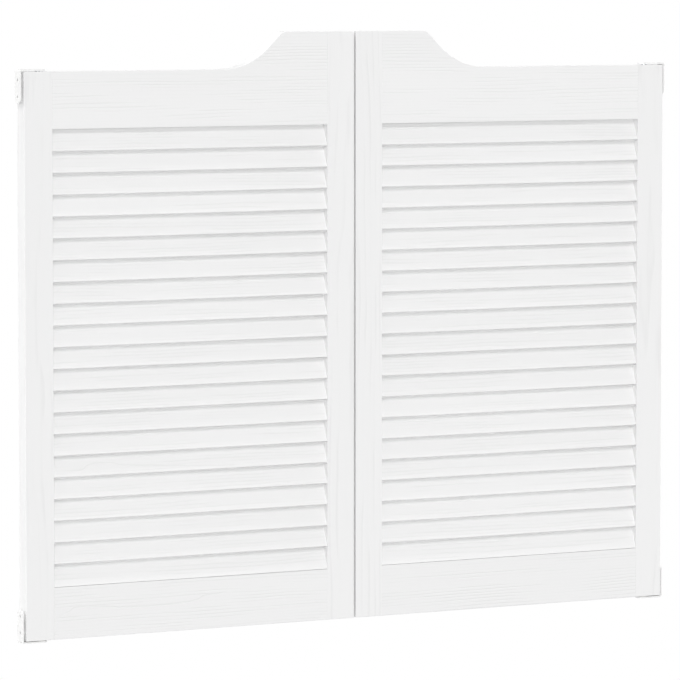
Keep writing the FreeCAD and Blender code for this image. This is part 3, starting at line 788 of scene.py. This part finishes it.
def weigh_edges(board, inner_lines):
    """Mark the sharp edges for rounding: slightly along the leaf's inner lines, and fully elsewhere."""
    bm = bmesh.new()
    bm.from_mesh(board.data)
    weight = bm.edges.layers.float.new("bevel_weight_edge")
    for edge in bm.edges:
        if edge.calc_face_angle(0.0) < EDGE_ANGLE:
            continue
        ends = [vertex.co for vertex in edge.verts]
        inner = any(
            all(abs(end[axis] - place) < LINE_REACH for end in ends) for axis, place in inner_lines
        )
        edge[weight] = INNER_EDGE_ROUND / EDGE_ROUND if inner else 1.0
    bm.to_mesh(board.data)
    bm.free()


def make_board(side_name, part, corners, tree, finish, inner_lines, cutters=()):
    """One board of a leaf, sawn to its corners, with rounded edges, its cuts and the grain of its log."""
    node = f"{side_name}_{part}"
    name = f"{node}_board"
    low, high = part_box(node)
    board = run_tree(name, tree, {
        "Thickness": high.y - low.y, "Curve Steps": CURVE_STEPS, "Finish": finish,
    }, outline_mesh(name, corners))
    weigh_edges(board, inner_lines)
    round_edges(board, EDGE_ROUND, EDGE_ROUND_STEPS, limit_method="WEIGHT")
    for cutter in cutters:
        cut_away(board, cutter)
    settle(board)
    drop_attributes(board, "corner_radius", "bevel_weight_edge", "grain")
    smooth(board)
    along, across = (Z_AXIS, X_AXIS) if part in STILES else (X_AXIS, Z_AXIS)
    store_grain(board, along, across, LOG_PLACES[node])
    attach(board, f"{side_name}_leaf")
    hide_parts(node)


def socket_recesses(side_name):
    """Boxes cut into both ends of a hinge stile for the sockets: a flange and a block at each."""
    stile_low, stile_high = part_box(f"{side_name}_hinge_stile")
    low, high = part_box(f"{side_name}_pivot_sockets")
    middle = (low.x + high.x) / 2
    gap = SOCKET_CLEARANCE
    half = BLOCK_HALF_WIDTH + gap
    boxes = []
    for end, inwards in ((stile_low.z, 1), (stile_high.z, -1)):
        outside = end - inwards * CUT_OVERRUN
        flange = end + inwards * FLANGE_THICKNESS
        block = flange - inwards * CUT_OVERLAP
        floor = end + inwards * (SOCKET_DEPTH + gap)
        boxes.append((
            (low.x - gap, low.y - gap, min(outside, flange)),
            (high.x + gap, high.y + gap, max(outside, flange)),
        ))
        boxes.append((
            (middle - half, -half, min(block, floor)),
            (middle + half, half, max(block, floor)),
        ))
    return boxes


def rail_corners(side_name):
    """The outline of a top rail: a level crest, a ramp with a rounded brow and a hollow foot."""
    side = SIDES[side_name]
    rail_low, rail_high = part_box(f"{side_name}_top_rail")
    hinge_low, hinge_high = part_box(f"{side_name}_hinge_stile")
    meeting_low, meeting_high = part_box(f"{side_name}_meeting_stile")
    shoulder = hinge_high.z
    meeting_edge = meeting_low.x if side > 0 else meeting_high.x
    inner = meeting_high.x if side > 0 else meeting_low.x
    outer = hinge_low.x if side > 0 else hinge_high.x
    brow = meeting_edge + side * CREST_LENGTH
    foot = brow + side * (rail_high.z - shoulder) / math.tan(RAMP_ANGLE)
    corners = [
        (inner, rail_low.z, 0.0),
        (outer, rail_low.z, 0.0),
        (outer, shoulder, 0.0),
        (foot, shoulder, HOLLOW_RADIUS),
        (brow, rail_high.z, BROW_RADIUS),
        (inner, rail_high.z, 0.0),
    ]
    return corners if side > 0 else corners[::-1]


def find_inner_lines(side_name):
    """The lines round the slats and along the meeting edge, each as an axis and a place on it."""
    hinge_low, hinge_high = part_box(f"{side_name}_hinge_stile")
    meeting_low, meeting_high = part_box(f"{side_name}_meeting_stile")
    inner = sorted((hinge_low.x, hinge_high.x, meeting_low.x, meeting_high.x))[1:3]
    meeting_edge = min(meeting_low.x, meeting_high.x, key=abs)
    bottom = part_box(f"{side_name}_bottom_rail")[1].z
    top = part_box(f"{side_name}_top_rail")[0].z
    upright_lines = [(X_AXIS, place) for place in (*inner, meeting_edge)]
    return upright_lines + [(Z_AXIS, bottom), (Z_AXIS, top)]


def make_leaf(side_name, slat_tree, board_tree, pine, seed):
    """The slats and boards of a leaf, its stiles grooved for the slats and recessed for the sockets."""
    make_slats(side_name, slat_tree, pine, seed)
    grooves = make_groove_cutter(side_name, slat_tree, pine)
    recess_name = f"{side_name}_recess_cutter"
    recess = new_object(recess_name, box_mesh(recess_name, socket_recesses(side_name)))
    outlines = {"top_rail": rail_corners(side_name)}
    rail_edges = [x for x, z, radius in outlines["top_rail"]]
    for part in (*STILES, "bottom_rail"):
        low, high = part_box(f"{side_name}_{part}")
        ends = (low.x, high.x) if part in STILES else (min(rail_edges), max(rail_edges))
        outlines[part] = rectangle(*ends, low.z, high.z)

    inner_lines = find_inner_lines(side_name)
    cutters = {"hinge_stile": (grooves, recess), "meeting_stile": (grooves,)}
    for part in (*STILES, "top_rail", "bottom_rail"):
        make_board(
            side_name, part, outlines[part], board_tree, pine, inner_lines, cutters.get(part, ())
        )
    for spare in (grooves, recess):
        bpy.data.objects.remove(spare)


# ---------------------------------------------------------------- hardware

def make_screws(side_name, tree, finish, seed):
    """The four screws of a leaf, which start at the sockets' faces and point into the wood."""
    node = f"{side_name}_socket_screws"
    low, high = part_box(node)
    head_radius = (high.y - low.y) / 2
    places = [
        (x, 0.0, z)
        for z in (low.z, high.z)
        for x in (low.x + head_radius, high.x - head_radius)
    ]
    mesh = bpy.data.meshes.new(node)
    mesh.from_pydata(places, [], [])
    facing = mesh.attributes.new("facing", "FLOAT_VECTOR", "POINT")
    middle = (low.z + high.z) / 2
    for turn, (x, y, z) in zip(facing.data, places):
        turn.vector = (0.0 if z > middle else math.pi, 0.0, 0.0)
    screws = run_tree(f"{side_name}_wood_screws", tree, {
        "Head Radius": head_radius, "Shank Radius": head_radius - FLANGE_THICKNESS, "Length": SCREW_LENGTH,
        "Point Length": SCREW_POINT, "Pitch": SCREW_PITCH, "Cross Reach": CROSS_REACH,
        "Cross Width": CROSS_WIDTH, "Cross Depth": CROSS_DEPTH, "Seed": seed, "Finish": finish,
    }, mesh)
    drop_attributes(screws, "facing")
    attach(screws, f"{side_name}_leaf")
    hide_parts(node)


def make_eased(node, name, body, finish):
    """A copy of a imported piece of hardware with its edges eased, which stands for it."""
    bm = bmesh.new()
    bm.from_mesh(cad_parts[node].data)
    bmesh.ops.remove_doubles(bm, verts=bm.verts, dist=JOIN_DISTANCE)
    bmesh.ops.dissolve_limit(bm, angle_limit=FLAT_ANGLE, verts=bm.verts, edges=bm.edges)
    mesh = bpy.data.meshes.new(name)
    bm.to_mesh(mesh)
    bm.free()
    mesh.materials.append(finish)
    piece = new_object(name, mesh)
    round_edges(piece, METAL_EDGE, METAL_EDGE_STEPS, limit_method="ANGLE", angle_limit=EDGE_ANGLE)
    smooth(piece)
    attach(piece, body)
    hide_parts(node)


# ---------------------------------------------------------------- stage, light and camera

def direction(azimuth, elevation):
    """The unit vector towards a place round the doors, where azimuth 0 is their front."""
    level = math.cos(elevation)
    return Vector((math.sin(azimuth) * level, -math.cos(azimuth) * level, math.sin(elevation)))


def make_floor():
    """A white floor that the doors hang above. It shows in the picture and sheds no light of its own."""
    material = bpy.data.materials.new("pale_floor")
    material.use_nodes = True
    tree = material.node_tree
    tree.nodes.clear()
    glow = add_node(tree, "ShaderNodeEmission", {"Color": WHITE, "Strength": 1.0})
    add_node(tree, "ShaderNodeOutputMaterial", {"Surface": glow.outputs["Emission"]})
    half = FLOOR_HALF_WIDTH
    around = ((-half, -half), (half, -half), (half, half), (-half, half))
    corners = [(x, y, -FLOOR_DROP) for x, y in around]
    mesh = bpy.data.meshes.new("floor")
    mesh.from_pydata(corners, [], [(0, 1, 2, 3)])
    mesh.materials.append(material)
    floor = new_object("floor", mesh)
    floor.visible_diffuse = False
    floor.visible_glossy = False
    floor.visible_transmission = False
    floor.visible_shadow = False


def make_room():
    """A room that looks white and lights everything evenly from all sides."""
    world = bpy.data.worlds.new("studio")
    bpy.context.scene.world = world
    world.use_nodes = True
    tree = world.node_tree
    tree.nodes.clear()
    seen = add_node(tree, "ShaderNodeLightPath").outputs["Is Camera Ray"]
    strength = remap(tree, seen, 0.0, 1.0, ROOM_STRENGTH, 1.0, eased=False)
    sky = add_node(tree, "ShaderNodeBackground", {"Color": WHITE, "Strength": strength})
    add_node(tree, "ShaderNodeOutputWorld", {"Surface": sky.outputs["Background"]})


def make_lamp(name, lamp):
    """A sun, which shines alike on every place from the lamp's direction."""
    data = bpy.data.lights.new(name, "SUN")
    data.energy = lamp.strength
    data.angle = math.radians(lamp.spread)
    source = new_object(name, data)
    source.rotation_mode = "QUATERNION"
    towards = direction(math.radians(lamp.azimuth), math.radians(lamp.elevation))
    source.rotation_quaternion = (-towards).to_track_quat("-Z", "Y")


def make_camera():
    """The camera, to the left of the doors and slightly above them."""
    data = bpy.data.cameras.new("camera")
    data.lens = CAMERA_LENS
    data.sensor_width = CAMERA_SENSOR
    data.sensor_fit = "HORIZONTAL"
    data.clip_end = CAMERA_REACH
    camera = new_object("camera", data)
    back = direction(CAMERA_AZIMUTH, CAMERA_ELEVATION)
    camera.location = CAMERA_TARGET + back * CAMERA_DISTANCE
    camera.rotation_mode = "QUATERNION"
    camera.rotation_quaternion = (-back).to_track_quat("-Z", "Y")
    bpy.context.scene.camera = camera


# ---------------------------------------------------------------- the whole scene

pine = make_painted_pine()
powder_coat = make_finish(POWDER_COAT)
zinc = make_finish(BRIGHT_ZINC)
nylon = make_finish(NATURAL_NYLON)
slat_tree = make_slat_tree()
board_tree = make_board_tree()
screw_tree = make_screw_tree()
for seed, side_name in enumerate(SIDES, start=FIRST_SEED):
    make_leaf(side_name, slat_tree, board_tree, pine, seed)
    make_screws(side_name, screw_tree, zinc, seed)
    sockets = f"{side_name}_pivot_sockets"
    make_eased(sockets, f"{side_name}_sockets", f"{side_name}_leaf", zinc)
for node, name, finish, slot in (
    ("top_brackets", "top_angle_brackets", powder_coat, "white_steel"),
    ("bottom_brackets", "bottom_angle_brackets", powder_coat, "white_steel"),
    ("pivot_pins", "turned_pivot_pins", zinc, "zinc_steel"),
    ("thrust_washers", "nylon_washers", nylon, "nylon"),
):
    make_eased(node, name, "jamb_hardware", finish)

make_floor()
make_room()
for lamp_name, lamp in LAMPS.items():
    make_lamp(lamp_name, lamp)
make_camera()
bpy.context.scene.view_settings.view_transform = "Standard"
